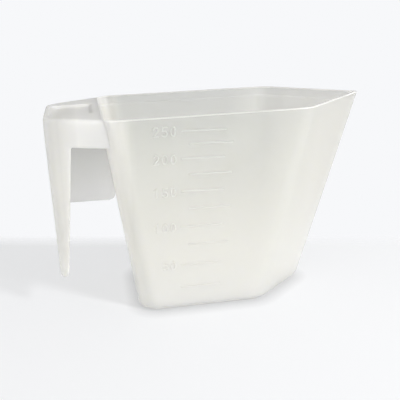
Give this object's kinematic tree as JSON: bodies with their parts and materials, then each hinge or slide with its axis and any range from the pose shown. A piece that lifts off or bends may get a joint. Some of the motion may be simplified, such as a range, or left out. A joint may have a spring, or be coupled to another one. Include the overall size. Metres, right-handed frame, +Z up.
{
  "type": "hair color bowl",
  "caption": "Translucent hair colour mixing bowl: deep drafted cup on a flat base, pointed pouring spout, raised millilitre scale, and an open-backed grip hanging from a bridge at rim level.",
  "frame": {"origin": "centre of the overall footprint, on the plane the flat base stands on", "axes": "+X from the grip to the spout tip, +Y across the bowl to the plain side wall, +Z up"},
  "size_m": [0.1286, 0.0565, 0.0837],
  "materials": {
    "natural_polypropylene": "as moulded, satin, milky translucent natural colour"
  },
  "bodies": {
    "root": {"bowl_shell": "natural_polypropylene", "handle_bridge": "natural_polypropylene", "handle_grip": "natural_polypropylene", "handle_web": "natural_polypropylene", "mark_025ml": "natural_polypropylene", "mark_050ml": "natural_polypropylene", "mark_075ml": "natural_polypropylene", "mark_100ml": "natural_polypropylene", "mark_125ml": "natural_polypropylene", "mark_150ml": "natural_polypropylene", "mark_175ml": "natural_polypropylene", "mark_200ml": "natural_polypropylene", "mark_225ml": "natural_polypropylene", "mark_250ml": "natural_polypropylene", "numeral_50_digit_1": "natural_polypropylene", "numeral_50_digit_2": "natural_polypropylene", "numeral_100_digit_1": "natural_polypropylene", "numeral_100_digit_2": "natural_polypropylene", "numeral_100_digit_3": "natural_polypropylene", "numeral_150_digit_1": "natural_polypropylene", "numeral_150_digit_2": "natural_polypropylene", "numeral_150_digit_3": "natural_polypropylene", "numeral_200_digit_1": "natural_polypropylene", "numeral_200_digit_2": "natural_polypropylene", "numeral_200_digit_3": "natural_polypropylene", "numeral_250_digit_1": "natural_polypropylene", "numeral_250_digit_2": "natural_polypropylene", "numeral_250_digit_3": "natural_polypropylene"}
  },
  "joints": []
}
